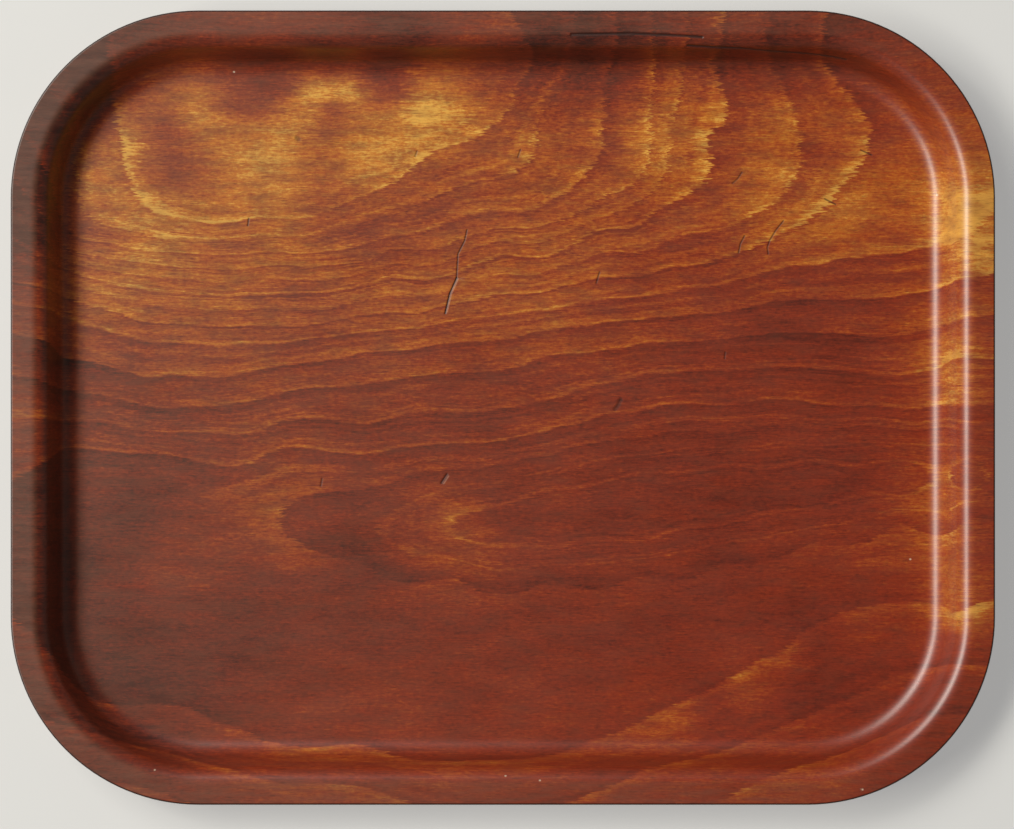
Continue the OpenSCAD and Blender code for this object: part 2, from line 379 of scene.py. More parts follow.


# %% [markdown]
# ## The figure of the face veneer
# A rotary lathe peels a log like a roll of paper, and every swelling or hollow of the trunk leaves its
# growth rings in the sheet as closed ovals, arches and long bands. The figure here is drawn as a forester
# would draw it: a few lines, each with the number of its ring, in millimetres on the flat sheet.
# A thin-plate spline, which is the rule that a bent steel sheet follows, fills in the ring number
# everywhere between them. How golden the stained wood looks, with painted shade on the left and back walls,
# is drawn and filled in the same way.

# %% Growth lines drawn
GROWTH_LINES = (
    (1.3, ((-130, 118), (-90, 110), (-60, 118), (-35, 128), (-110, 140), (-70, 140), (-30, 145))),
    (1.45, ((-150, 138), (-150, 120), (-147, 104), (-138, 95), (-110, 94), (-80, 95), (-50, 107),
            (-25, 124))),
    (1.5, ((-150, 165), (-90, 170), (-30, 165))),
    (2.0, ((-171, 128), (-168, 110), (-163, 96), (-152, 85), (-125, 81), (-90, 82), (-70, 90), (-45, 102),
            (-30, 114), (-8, 122), (4, 132), (12, 150))),
    (3.0, ((-188, 105), (-180, 82), (-150, 74), (-110, 74), (-70, 80), (-36, 91), (-10, 100), (8, 106),
            (16, 115), (14, 128), (20, 135), (32, 150))),
    (4.0, ((-70, 70), (-35, 77), (0, 86), (30, 96), (40, 108), (44, 125), (46, 148))),
    (5.0, ((-190, 68), (-140, 62), (-100, 63), (-60, 65), (-25, 71), (10, 78), (35, 86), (58, 98),
            (66, 112), (67, 128), (68, 150))),
    (6.0, ((73, 110), (74, 128), (80, 150))),
    (7.0, ((-190, 60), (-150, 52), (-95, 50), (-50, 58), (0, 68), (40, 78), (70, 88), (88, 98), (94, 108),
            (88, 117), (98, 125), (100, 136), (93, 152))),
    (8.0, ((-150, 44), (-90, 43), (-40, 48), (10, 58), (60, 68), (95, 77), (122, 91), (131, 106),
            (130, 128), (120, 152))),
    (9.0, ((25, 53), (70, 61), (105, 69), (128, 79), (148, 96), (160, 109), (161, 126), (152, 142),
            (142, 152))),
    (10.0, ((-205, 43), (-175, 34), (-145, 29), (-110, 28), (-75, 31), (-30, 37), (20, 43), (60, 48),
            (100, 54), (140, 63), (175, 68), (205, 72))),
    (11.0, ((-195, 21), (-160, 13), (-125, 13), (-100, 18), (-60, 24), (0, 30), (60, 39), (120, 47),
            (200, 54))),
    (12.0, ((-195, 8), (-125, 1), (-75, 9), (-30, 15), (20, 23), (75, 29), (140, 33), (205, 38))),
    (13.0, ((-195, -6), (-150, -12), (-110, -12), (-60, -8), (-20, -3), (20, 2), (50, 11), (90, 16),
            (140, 17), (205, 22))),
    (14.0, ((-190, -18), (-150, -20), (-100, -19), (-50, -19), (-15, -16), (20, -10), (60, -1), (110, 3),
            (160, 1), (205, 1))),
    (15.0, ((-98, -48), (-85, -38), (-50, -34), (-10, -28), (20, -22), (60, -14.5), (100, -11.5),
            (140, -11), (180, -11.5), (215, -12), (-88, -60), (-60, -69), (-20, -74), (20, -75),
            (60, -74), (97, -68), (136, -58), (175, -50), (215, -46))),
    (16.0, ((-52, -54), (-40, -46), (-10, -35), (20, -29), (60, -22.5), (100, -19), (140, -17.5),
            (180, -17.5), (215, -18), (-40, -61), (-20, -65), (20, -68), (60, -65), (97, -58), (136, -51),
            (175, -44), (215, -40))),
    (17.0, ((-24, -54), (-8, -46), (20, -37), (60, -29), (100, -25.5), (140, -24), (180, -23.5),
            (215, -23.5), (-12, -60), (20, -62), (60, -58), (97, -51), (136, -45), (175, -38.5),
            (215, -35))),
    (17.5, ((20, -51), (60, -44), (97, -38), (136, -34.5), (175, -31), (215, -29))),
    (14.75, ((-190, -45), (-140, -52), (-122, -60), (-90, -77), (-60, -81), (-20, -84), (20, -85),
            (60, -84), (97, -77), (136, -67), (175, -60), (215, -56))),
    (14.5, ((-190, -75), (-120, -95), (-60, -106), (0, -110), (60, -104), (100, -91), (140, -77),
            (180, -70))),
    (14.3, ((-190, -98), (-130, -118), (-60, -133), (20, -138), (60, -124), (90, -109), (115, -99))),
    (14.0, ((-200, -118), (-170, -132), (-130, -137), (-95, -150), (-40, -158), (10, -157), (45, -146),
            (60, -138), (77, -130.5), (103, -118), (113, -110.5), (126, -107), (131, -98), (150, -91),
            (182, -85), (205, -89))),
    (13.0, ((-150, -152), (-60, -175), (60, -168), (100, -150), (125, -140), (155, -127), (190, -115))),
    (12.0, ((-215, -160), (160, -150), (200, -140))),
)
print("growth lines:", len(GROWTH_LINES))

# %% Tone of the stained wood and painted wall shade at a few places
# How golden the wood is, with painted shade on the left and back walls: 0 is nearly black, 0.4 red-brown,
# 0.6 orange and 1 gold.
TONES_AND_WALL_SHADE = (
    (1.00, ((218, 76), (202, 84))),
    (0.92, ((-84, 141), (-69, 142), (-110, 106), (-34, 137))),
    (0.83, ((202, 15), (-108, 117), (-155, 88), (-132, 129))),
    (0.78, ((150, 94), (-75, 141), (-98, 128), (60, 110), (-164, 117), (-140, 83), (-70, 118), (-50, 129),
            (-110, 120), (212, 100), (203, -90))),
    (0.70, ((-92, 96), (-88, 113), (-165, 54), (-140, 74), (-125, 110), (-70, 106), (-100, 80),
            (-33, 112), (-110, 97), (-60, 98), (-183, 100))),
    (0.66, ((125, 108), (-180, 42), (-182, 60), (203, -60), (-15, 124), (110, 92), (130, 128), (-128, 96),
            (-140, 140), (-120, 90))),
    (0.60, ((160, 112), (112, 128), (92, 108), (150, 70), (203, 50), (203, -35), (-75, 60), (-115, 52),
            (-162, 104), (0, 113), (75, 142), (175, 84), (-40, 60), (15, 72), (30, 92), (0, 45),
            (190, 62), (-175, 72), (-125, 38), (20, 122), (40, 75), (58, 128), (-80, 96), (60, 98))),
    (0.54, ((-15, -55), (-40, 95), (-30, 75), (40, 112), (80, 82), (-120, 134), (95, 133), (105, -123),
            (-150, 125), (-146, 98))),
    (0.49, ((178, 10), (140, 110), (125, -113), (-60, 87), (-90, 30), (180, 60), (-165, 30), (60, 55),
            (200, -12), (80, -134), (-90, -46), (-218, 0), (222, 50), (-75, 131), (-148, 112),
            (-150, 145))),
    (0.40, ((-150, 5), (-80, 0), (0, 15), (-165, 18), (-175, -12), (50, 8), (130, 8), (222, 0),
            (-100, -150), (45, -146), (165, -55), (-40, -52), (120, 55), (60, -160), (140, -150),
            (-100, -178), (100, 178), (-100, 178), (-103, 138), (180, -87), (-212, 38), (-212, 55),
            (-50, 140))),
    (0.36, ((-130, -35), (100, 35), (60, -66), (130, -66), (0, -72), (-150, -70), (-60, -20), (20, -30),
            (-60, -125), (0, -135), (0, 150), (100, 148), (222, -60), (60, -178), (180, -110),
            (200, -110), (-93, 149), (-75, 150), (150, -95), (0, 178))),
    # Marks on the left wall, at x = -207, and on the back wall, at y = 160 to 165, are set dark as painted
    # shade: those walls face away from the window.
    (0.28, ((112, -96), (-185, -30), (60, -20), (0, -42), (-20, -100), (80, -15), (150, 15), (45, -48),
            (-60, 149), (-120, 165), (135, 152), (-60, 160), (-180, 130), (-110, 150))),
    (0.22, ((-115, -88), (-62, -56), (120, -38), (90, -45), (62, -103), (130, -80), (146, -112),
            (95, -128), (152, -30), (150, -135), (120, 25), (125, -120), (-80, -90))),
    (0.14, ((-40, 163), (-207, 80), (-207, 20), (-207, -30), (-207, -90), (140, -106), (50, 160),
            (8, 163), (97, 163), (122, 162), (-160, -100), (-162, -45), (-185, -100), (-218, -60))),
)
print("tones:", len(TONES_AND_WALL_SHADE))

# %% How strongly each ring ends and starts
# How brightly each ring ends and how darkly the next one starts, ring 0 first.
RING_ENDS = (0.5, 0.9, 0.8, 0.8, 0.8, 0.75, 0.6, 1.0, 0.6, 1.0, 1.0, 1.0, 1.0, 1.0, 0.9, 0.7, 1.0, 1.0)
RING_STARTS = (0.5, 0.5, 0.6, 0.9, 0.9, 0.9, 0.9, 1.0, 0.8, 0.8, 1.0, 1.0, 1.0, 1.0, 0.8, 0.9, 0.3, 0.2)


# %% Fill in between the lines
RING_STIFFNESS = 30.0
TONE_STIFFNESS = 20.0
AT_ONCE = 4000


def bent_plate(marks, stiffness):
    """A function of places on the flat sheet, in mm, that passes close to every mark's value."""
    places = np.array([place for _, line in marks for place in line], float)
    values = np.array([value for value, line in marks for _ in line], float)

    def bend(points):
        apart = np.maximum(np.linalg.norm(points[:, None] - places[None], axis=2), 1e-6)
        return apart ** 2 * np.log(apart)

    count = len(places)
    level = np.c_[np.ones(count), places]
    system = np.block([[bend(places) + stiffness * np.eye(count), level], [level.T, np.zeros((3, 3))]])
    weights = np.linalg.solve(system, np.r_[values, 0, 0, 0])

    def height_at(points):
        chunks = np.array_split(points, max(1, len(points) // AT_ONCE))
        pull, base, lean = weights[:count], weights[count], weights[count + 1:]
        return np.concatenate([bend(chunk) @ pull + base + chunk @ lean for chunk in chunks])

    return height_at


rings = bent_plate(GROWTH_LINES, RING_STIFFNESS)
gold = bent_plate(TONES_AND_WALL_SHADE, TONE_STIFFNESS)
print("ring number at the middle of the tray:", round(float(rings(np.array([[0.0, 0.0]]))[0]), 2))

# %% [markdown]
# ## Figured veneer under satin lacquer
# The real sheet is a tropical hardwood veneer, stained red-brown and sprayed with a clear satin lacquer.
# The stain soaks in unevenly, so the eye sees the wood glow from nearly black through red-brown and
# orange to gold. The lacquer lays a soft sheen over it, dulled by wear on the floor and the rim and still
# glossy in the bends, which is why each bend shows a thin bright line. What is finer than a millimetre or
# two isn't in the mesh but in the patterns below. A real fibre is some 0.03 mm wide and a pore 0.15 mm,
# which is too fine to see from here, so both are drawn about 0.4 mm wide.

# %% Patterns and colours of the stained wood
# Each pattern: its blotches' size along the grain and across it in mm, its detail, roughness and seed.
PATTERNS = {
    "fibre bundles": (14.0, 1.0, 3.0, 0.55, 0.0),
    "fibre ends": (5.0, 0.4, 3.0, 0.55, 7.0),
    "ring waves": (24.0, 8.0, 3.0, 0.55, 3.0),
    "gaps in ring lines": (26.0, 4.0, 3.0, 0.55, 13.0),
    "groups of fine rings": (42.0, 9.0, 3.0, 0.55, 17.0),
    "light and dark patches": (34.0, 9.0, 4.0, 0.6, 11.0),
    "long streaks": (15.0, 0.9, 4.0, 0.65, 5.0),
    "single fibres": (3.6, 0.45, 2.0, 0.55, 9.0),
    "mottle": (2.4, 1.3, 3.0, 0.7, 15.0),
    "gold edges": (8.0, 0.8, 4.0, 0.55, 33.0),
    "dull patches": (14.0, 5.0, 4.0, 0.55, 19.0),
    "red patches": (9.0, 3.0, 3.0, 0.55, 23.0),
    "handling and sheen patches": (22.0, 3.0, 4.0, 0.55, 29.0),
    "painted sheen patches": (22.0, 7.0, 4.0, 0.55, 37.0),
    "pores": (4.5, 0.4, 1.0, 0.55, 21.0),
    "lacquer ripple": (5.0, 4.0, 2.0, 0.55, 31.0),
    "worn gloss": (40.0, 18.0, 3.0, 0.55, 41.0),
}
# The wood from its darkest to its most golden, at equal steps of tone.
STAIN = ("#330f07", "#64210e", "#862f12", "#a74f17", "#c47522", "#e6ac49")
DULL_STAIN = "#63301f"
RED_STAIN = "#8c2a10"
# The grey of the painted sheen that lies over the left of the floor and rim.
PAINTED_SHEEN_GREY = "#5d4433"
# The greyer brown of the rim: partly handling wear and partly painted sheen.
HANDLED_AND_SHEEN = "#714939"
FILLED_PORE = "#34150e"
DIRTY_SCRATCH = "#2b120c"
BARE_WOOD = "#d8c3ab"
# Painted shade on the trimmed edge, so that the outline reads dark.
PAINTED_EDGE_SHADE = "#2a120c"
print("patterns in the wood:", len(PATTERNS))


# %% What the finish reads from the mesh
def read_sheet(tree):
    """Collects what the mesh holds at each point. Places are in mm on the flat sheet."""
    wood = SimpleNamespace(tree=tree)
    for name in ("steep", "tone_slope", "worn", "marks", "depth"):
        setattr(wood, name, add(tree, "ShaderNodeAttribute", output=2, attribute_name=name))
    place = add(tree, "ShaderNodeAttribute", output=1, attribute_name="sheet")
    wood.sheet = add(tree, "ShaderNodeVectorMath", {0: place, "Scale": 1 / MM}, operation="SCALE")
    wood.x, wood.y = add(tree, "ShaderNodeSeparateXYZ", {0: wood.sheet}, output=None).outputs[:2]
    figure = add(tree, "ShaderNodeAttribute", output=1, attribute_name="figure")
    split = add(tree, "ShaderNodeSeparateXYZ", {0: figure}, output=None)
    wood.ring, wood.slope, wood.tone = split.outputs[:3]
    away = add(tree, MATH, (wood.worn, 1.0), operation="SUBTRACT")
    wood.off_floor = add(tree, MATH, (away,), operation="ABSOLUTE")
    wood.on_rim = add(tree, "ShaderNodeMapRange", {0: wood.off_floor, 1: 0.1, 2: 0.8, 3: 1.0, 4: 1.25})
    return wood


def pattern(wood, name, low=None, high=None):
    """A pattern of the table: as it is, near a half, or spread from low to high."""
    along, across, detail, roughness, seed = PATTERNS[name]
    spread = add(wood.tree, "ShaderNodeMapping", {
        "Vector": wood.sheet, "Location": (seed, seed, 0.0), "Scale": (1 / along, 1 / across, 1.0)})
    blotches = add(wood.tree, "ShaderNodeTexNoise", {
        "Vector": spread, "Scale": 1.0, "Detail": detail, "Roughness": roughness})
    if low is None:
        return blotches
    middle_half = {0: blotches, 1: 0.25, 2: 0.75, 3: low, 4: high}
    return add(wood.tree, "ShaderNodeMapRange", middle_half, clamp=False)


# %% [markdown]
# ## Growth rings
# Fibres carry a ring's edge along the grain by up to a few millimetres, so the edge looks torn where it
# crosses the grain and clean where it follows it. A ring grows lighter and ends in a thin light line. The
# next one starts dark.

# %% Feather the rings and find their edges
FIBRE_REACH = 3.6
FIBRE_END_REACH = 1.8
RING_WAVE = 1.1
TONE_FEATHER = 1.5
EDGE_WIDTH = 0.9
FLATTEST = 0.01
END_SHARPNESS = 7.0
START_SHARPNESS = 12.0
SHADE_SHARPNESS = 3.0


def ring_edges(wood):
    """Finds how far into its ring each place is, and how near its light end or its dark start."""
    tree = wood.tree
    bundles = pattern(wood, "fibre bundles", -FIBRE_REACH, FIBRE_REACH)
    ends = pattern(wood, "fibre ends", -FIBRE_END_REACH, FIBRE_END_REACH)
    shift = add(tree, MATH, (bundles, ends), operation="ADD")
    waves = pattern(wood, "ring waves", -RING_WAVE, RING_WAVE)
    wander = add(tree, MATH, (waves, wood.steep), operation="MULTIPLY")
    wavy = add(tree, MATH, (wood.ring, wander), operation="ADD")
    wood.ragged = add(tree, MATH, (wood.slope, shift, wavy), operation="MULTIPLY_ADD")
    tone_shift = add(tree, MATH, (shift, TONE_FEATHER), operation="MULTIPLY")
    wood.tone = add(tree, MATH, (wood.tone_slope, tone_shift, wood.tone), operation="MULTIPLY_ADD")

    # The turn from one ring to the next takes about a millimetre, however wide the rings are.
    wood.part = add(tree, MATH, (wood.ragged,), operation="FRACT")
    steepness = add(tree, MATH, (wood.steep, FLATTEST), operation="MAXIMUM")
    edge = add(tree, MATH, (steepness, EDGE_WIDTH), operation="MULTIPLY")
    edge_start = add(tree, MATH, (1.0, edge), operation="SUBTRACT")
    turning = add(tree, "ShaderNodeMapRange", {0: wood.part, 1: edge_start, 2: 1.0})
    not_turned = add(tree, MATH, (1.0, turning), operation="SUBTRACT")
    bright = add(tree, MATH, (wood.part, END_SHARPNESS), operation="POWER")
    wood.light_line = add(tree, MATH, (bright, not_turned), operation="MULTIPLY")
    left = add(tree, MATH, (1.0, wood.part), operation="SUBTRACT")
    dark = add(tree, MATH, (left, START_SHARPNESS), operation="POWER")
    wood.dark_line = add(tree, MATH, (dark, turning), operation="MAXIMUM")
    shade = add(tree, MATH, (left, SHADE_SHARPNESS), operation="POWER")
    wood.dark_side = add(tree, MATH, (shade, turning), operation="MAXIMUM")


# %% Strength of each ring's two edges
def ring_strengths(wood):
    """Looks up how strongly this ring ends and starts, in one ramp of flat steps."""
    tree = wood.tree
    count = len(RING_ENDS)
    middle = add(tree, MATH, (wood.ragged, 0.5), operation="ADD")
    number = add(tree, MATH, (middle, float(count)), operation="DIVIDE")
    steps = add(tree, "ShaderNodeValToRGB", {0: number}, output=None)
    steps.color_ramp.interpolation = "CONSTANT"
    while len(steps.color_ramp.elements) < count:
        steps.color_ramp.elements.new(1.0)
    for index, element in enumerate(steps.color_ramp.elements):
        element.position = index / count
        element.color = (RING_ENDS[index], RING_STARTS[index], 0.0, 1.0)
    split = add(tree, "ShaderNodeSeparateColor", {0: steps.outputs[0]}, output=None)
    return split.outputs[:2]


# %% Light ends and dark starts of the rings
GLINT_IN_GOLD = 0.8
GLINT_FLOOR = -0.06
GLINT_ON_WALLS = 0.26
START_DARKNESS = 0.13
SHADE_DARKNESS = 0.08


def ring_lines(wood):
    """How much lighter each place is for a ring's end, and how much darker for a ring's start."""
    tree = wood.tree
    ring_end, ring_start = ring_strengths(wood)
    gaps = pattern(wood, "gaps in ring lines")
    broken = add(tree, "ShaderNodeMapRange", {0: gaps, 1: 0.36, 2: 0.6, 3: 0.1, 4: 1.1})
    end_light = add(tree, MATH, (wood.light_line, ring_end), operation="MULTIPLY")
    end_light = add(tree, MATH, (end_light, broken), operation="MULTIPLY")
    in_gold = add(tree, MATH, (wood.tone, GLINT_IN_GOLD, GLINT_FLOOR), operation="MULTIPLY_ADD")
    on_walls = add(tree, MATH, (wood.off_floor, GLINT_ON_WALLS), operation="MULTIPLY")
    glint = add(tree, MATH, (in_gold, on_walls), operation="MAXIMUM")
    end_light = add(tree, MATH, (end_light, glint), operation="MULTIPLY")
    end_light = add(tree, MATH, (end_light, wood.on_rim), operation="MULTIPLY")
    line = add(tree, MATH, (broken, START_DARKNESS), operation="MULTIPLY")
    side = add(tree, MATH, (wood.dark_side, SHADE_DARKNESS), operation="MULTIPLY")
    start_dark = add(tree, MATH, (wood.dark_line, line, side), operation="MULTIPLY_ADD")
    start_dark = add(tree, MATH, (start_dark, ring_start), operation="MULTIPLY")
    return end_light, start_dark


# %% [markdown]
# ## Tone of the wood
# The tone is a single number that the stain's colours are picked by. The gold field gives it at large,
# the rings give their two edges, and fine growth lines, patches, streaks and fibres vary it. Fine lines
# show only where the rings are close, because they follow the rings.

# %% Tone of the wood
RING_GAIN = 0.05
TONE_LOSS = 0.01
FINE_RINGS_PER_RING = 5.0
GOLD_FRAY = 0.05
STREAK = 0.1
VARIATION = {"light and dark patches": 0.12, "single fibres": 0.11, "mottle": 0.15}


def wood_tone(wood):
    """The tone at each place, from 0, nearly black, to 1, gold."""
    tree = wood.tree
    end_light, start_dark = ring_lines(wood)
    base = add(tree, MATH, (wood.tone, TONE_LOSS), operation="SUBTRACT")
    value = add(tree, MATH, (wood.part, RING_GAIN, base), operation="MULTIPLY_ADD")
    value = add(tree, MATH, (value, end_light), operation="ADD")
    fray = pattern(wood, "gold edges", -GOLD_FRAY, GOLD_FRAY)
    frayed = add(tree, MATH, (wood.tone, fray), operation="ADD")
    lift = add(tree, "ShaderNodeMapRange", {0: frayed, 1: 0.6, 2: 0.72, 3: -0.02, 4: 0.03})
    value = add(tree, MATH, (value, lift), operation="ADD")
    value = add(tree, MATH, (value, start_dark), operation="SUBTRACT")

    fine = {"W": wood.ragged, "Scale": FINE_RINGS_PER_RING, "Detail": 4.0, "Roughness": 0.7}
    fine_rings = add(tree, "ShaderNodeTexNoise", fine, noise_dimensions="1D")
    middle_half = {0: fine_rings, 1: 0.25, 2: 0.75, 3: -1.0, 4: 1.0}
    fine_lines = add(tree, "ShaderNodeMapRange", middle_half, clamp=False)
    groups = pattern(wood, "groups of fine rings")
    clear = add(tree, "ShaderNodeMapRange", {0: groups, 1: 0.3, 2: 0.7, 3: 0.04, 4: 0.22})
    crowded = add(tree, "ShaderNodeMapRange", {0: wood.steep, 1: 0.008, 2: 0.05})
    clear = add(tree, MATH, (clear, crowded), operation="MULTIPLY")
    value = add(tree, MATH, (fine_lines, clear, value), operation="MULTIPLY_ADD")
    for name, size in VARIATION.items():
        value = add(tree, MATH, (value, pattern(wood, name, -size, size)), operation="ADD")
    streak = pattern(wood, "long streaks", -STREAK, STREAK)
    return add(tree, MATH, (streak, wood.on_rim, value), operation="MULTIPLY_ADD")


# %% [markdown]
# ## Colour of the wood
# The tone picks the stain's colour. Then age, use and painted sheen lie over it in layers: dull patches,
# more red towards the lower right, a greyish painted sheen at the left where the window's light falls in,
# and a greyer brown on the rim that is partly handling wear and partly painted sheen, weaker at the right.
# Dirt fills the pores and the scratches, chips show bare wood, and the trimmed edge is painted nearly black
# as painted shade along the outline.

# %% Where age and use have changed the colour, and where sheen and shade are painted
def stain_layers(wood):
    """How much of each layer lies over the stain, from the lowest layer to the topmost."""
    tree = wood.tree
    patches = pattern(wood, "dull patches")
    dull = add(tree, "ShaderNodeMapRange", {0: patches, 1: 0.42, 2: 0.72, 3: 0.0, 4: 0.55})
    reach = add(tree, MATH, (wood.x, 0.9), operation="MULTIPLY")
    lower_right = add(tree, MATH, (reach, wood.y), operation="SUBTRACT")
    redder = add(tree, "ShaderNodeMapRange", {0: lower_right, 1: -150.0, 2: 260.0, 3: 0.0, 4: 0.42})
    redder = add(tree, MATH, (redder, pattern(wood, "red patches", 0.4, 1.6)), operation="MULTIPLY")
    # Painted sheen: a greyish veil, strongest at the left where the window's light falls in, on the floor
    # and rim.
    painted_sheen = add(tree, "ShaderNodeMapRange", {0: wood.x, 1: -210.0, 2: 80.0, 3: 0.28, 4: 0.0})
    flat_part = add(tree, MATH, (wood.worn, 1.0), operation="MINIMUM")
    painted_sheen = add(tree, MATH, (painted_sheen, flat_part), operation="MULTIPLY")
    painted_sheen = add(tree, MATH, (painted_sheen, pattern(wood, "painted sheen patches", 0.5, 1.5)), operation="MULTIPLY")
    # A greyer brown on the rim, partly handling wear and partly painted sheen, which grows weaker towards
    # the right.
    handled_and_sheen = add(tree, "ShaderNodeMapRange", {0: wood.worn, 1: 1.2, 2: 2.0, 3: 0.0, 4: 0.26})
    handled_and_sheen = add(tree, MATH, (handled_and_sheen, pattern(wood, "handling and sheen patches", 0.0, 2.0)), operation="MULTIPLY")
    less_at_right = add(tree, "ShaderNodeMapRange", {0: wood.x, 1: 100.0, 2: 215.0, 3: 1.0, 4: 0.3})
    handled_and_sheen = add(tree, MATH, (handled_and_sheen, less_at_right), operation="MULTIPLY")
    return (dull, DULL_STAIN), (redder, RED_STAIN), (painted_sheen, PAINTED_SHEEN_GREY), (handled_and_sheen, HANDLED_AND_SHEEN)


PORE_DARKNESS = 0.42
MARK_STRENGTH = 0.9
EDGE_SHADE_DEPTH = 0.12 * MM


def dirt_and_edge_shade_layers(wood):
    """How much of the pores', the scratches' and the chips' colour shows, and how much painted shade lies
    on the trimmed edge.
    """
    tree = wood.tree
    wood.pores = add(tree, "ShaderNodeMapRange", {0: pattern(wood, "pores"), 1: 0.58, 2: 0.72})
    filled = add(tree, MATH, (wood.pores, PORE_DARKNESS), operation="MULTIPLY")
    dark_marks = add(tree, MATH, (wood.marks, 0.0), operation="MAXIMUM")
    scratched = add(tree, MATH, (dark_marks, MARK_STRENGTH), operation="MULTIPLY")
    turned = add(tree, MATH, (wood.marks, -1.0), operation="MULTIPLY")
    pale_marks = add(tree, MATH, (turned, 0.0), operation="MAXIMUM")
    bared = add(tree, MATH, (pale_marks, MARK_STRENGTH), operation="MULTIPLY")
    # Painted shade: the trimmed edge, from just under the face downwards, is painted nearly black.
    trimmed = add(tree, "ShaderNodeMapRange", {0: wood.depth, 1: 0.0, 2: EDGE_SHADE_DEPTH})
    return (filled, FILLED_PORE), (scratched, DIRTY_SCRATCH), (bared, BARE_WOOD), (trimmed, PAINTED_EDGE_SHADE)


# %% Face veneer material
def face_finish():
    """Stained, figured veneer under clear satin lacquer, which gives the eye warm depth and thin glints."""
    material = bpy.data.materials.new("satin_lacquered_figured_veneer")
    material.use_nodes = True
    tree = material.node_tree
    tree.nodes.clear()
    wood = read_sheet(tree)
    ring_edges(wood)
    ramp = add(tree, "ShaderNodeValToRGB", {0: wood_tone(wood)}, output=None)
    while len(ramp.color_ramp.elements) < len(STAIN):
        ramp.color_ramp.elements.new(0.5)
    for index, element in enumerate(ramp.color_ramp.elements):
        element.position = index / (len(STAIN) - 1)
        element.color = linear(STAIN[index])
    colour = ramp.outputs[0]
    for amount, shade in stain_layers(wood) + dirt_and_edge_shade_layers(wood):
        layer = {0: amount, 6: colour, 7: linear(shade)}
        colour = add(tree, "ShaderNodeMix", layer, output=2, data_type="RGBA")

    # The lacquer sinks a little into the pores, and its own skin is faintly rippled.
    relief = add(tree, MATH, (wood.pores, -0.6, pattern(wood, "single fibres")), operation="MULTIPLY_ADD")
    bump = add(tree, "ShaderNodeBump", {"Strength": 0.12, "Distance": 0.05 * MM, "Height": relief})
    ripple = add(tree, "ShaderNodeBump", {
        "Strength": 0.10, "Distance": 0.1 * MM, "Height": pattern(wood, "lacquer ripple")})
    lacquer = add(tree, "ShaderNodeMapRange", {0: wood.worn, 1: 0.0, 2: 1.0, 3: 1.0, 4: 0.3})
    gloss = pattern(wood, "worn gloss")
    gloss = add(tree, "ShaderNodeMapRange", {0: gloss, 1: 0.3, 2: 0.7, 3: 0.42, 4: 0.52})
    shader = add(tree, "ShaderNodeBsdfPrincipled", {
        "Base Color": colour, "Roughness": gloss, "IOR": 1.5, "Specular IOR Level": 0.32, "Normal": bump,
        "Coat Weight": lacquer, "Coat Roughness": 0.34, "Coat IOR": 1.5, "Coat Normal": ripple})
    add(tree, "ShaderNodeOutputMaterial", {"Surface": shader}, output=None)
    return material


# %% [markdown]
# ## Plainer veneers and the glue
# The back veneer is cut like the face but plainer, and the eye sees an even dark brown with fine straight
# grain under a soft shine. The inner veneers and the glue show only as thin lines at the trimmed edge:
# the bare veneers as matt brown bands, and the cured glue film between them as nearly black threads.
# Fibres are drawn about 3 mm wide, far coarser than real ones, so that they show.

# %% Materials of the other sheets
def plain_veneer(name, dark, light, grain, roughness, coat):
    """Straight-grained veneer. grain is the fibre's size along the tray and across it, in mm."""
    material = bpy.data.materials.new(name)
    material.use_nodes = True
    tree = material.node_tree
    tree.nodes.clear()
    place = add(tree, "ShaderNodeAttribute", output=1, attribute_name="sheet")
    sheet = add(tree, "ShaderNodeVectorMath", {0: place, "Scale": 1 / MM}, operation="SCALE")
    spread = add(tree, "ShaderNodeMapping", {"Vector": sheet, "Scale": (1 / grain[0], 1 / grain[1], 1.0)})
    fibre = add(tree, "ShaderNodeTexNoise", {
        "Vector": spread, "Scale": 1.0, "Detail": 6.0, "Roughness": 0.65, "Distortion": 0.3})
    ramp = add(tree, "ShaderNodeValToRGB", {0: fibre}, output=None)
    for element, position, colour in zip(ramp.color_ramp.elements, (0.3, 0.7), (dark, light)):
        element.position = position
        element.color = linear(colour)
    bump = add(tree, "ShaderNodeBump", {"Strength": 0.15, "Distance": 0.05 * MM, "Height": fibre})
    shader = add(tree, "ShaderNodeBsdfPrincipled", {
        "Base Color": ramp.outputs[0], "Roughness": roughness, "Normal": bump, "Coat Weight": coat,
        "Coat Roughness": 0.2})
    add(tree, "ShaderNodeOutputMaterial", {"Surface": shader}, output=None)
    return material


finishes = {
    "face_veneer": face_finish(),
    "back_veneer": plain_veneer(
        "satin_lacquered_plain_veneer", "#4c2214", "#8a4a2a", grain=(45.0, 3.0), roughness=0.5, coat=0.8),
    "inner_veneer": plain_veneer(
        "stained_inner_veneer", "#2e170e", "#6b4328", grain=(3.0, 30.0), roughness=0.6, coat=0.3),
    "glue_film": plain_veneer(
        "cured_phenolic_glue", "#1d0d09", "#2c140d", grain=(6.0, 6.0), roughness=0.5, coat=0.3),
}
slots = {entry["node"]: entry["material_slot"] for entry in frame["record"]["subparts"]}
print("material slots:", sorted(set(slots.values())))

# %% [markdown]
# ## Press the nine sheets
# The face needs a fine mesh, because its figure and its scratches are held by the mesh itself. The others
# are coarser on the flat, and only their bends are fine.

# %% Press every sheet
DETAIL = {
    "face_veneer": {"Cell": 3 * MM, "Edge Rows": 4},
    "back_veneer": {"Cell": 8 * MM, "Edge Rows": 4},
}
PLAIN_DETAIL = {"Cell": 12 * MM, "Bend Rows": 20, "Edge Rows": 2}
pieces = {}
for name, depth, next_depth in zip(SHEETS, depths, depths[1:]):
    slot = slots[name]
    piece = pressed_sheet(name + "_sheet", depth, next_depth - depth, finishes[slot],
                          **DETAIL.get(name, PLAIN_DETAIL))
    pieces[name] = piece
    print(name, len(piece.data.polygons), "faces")

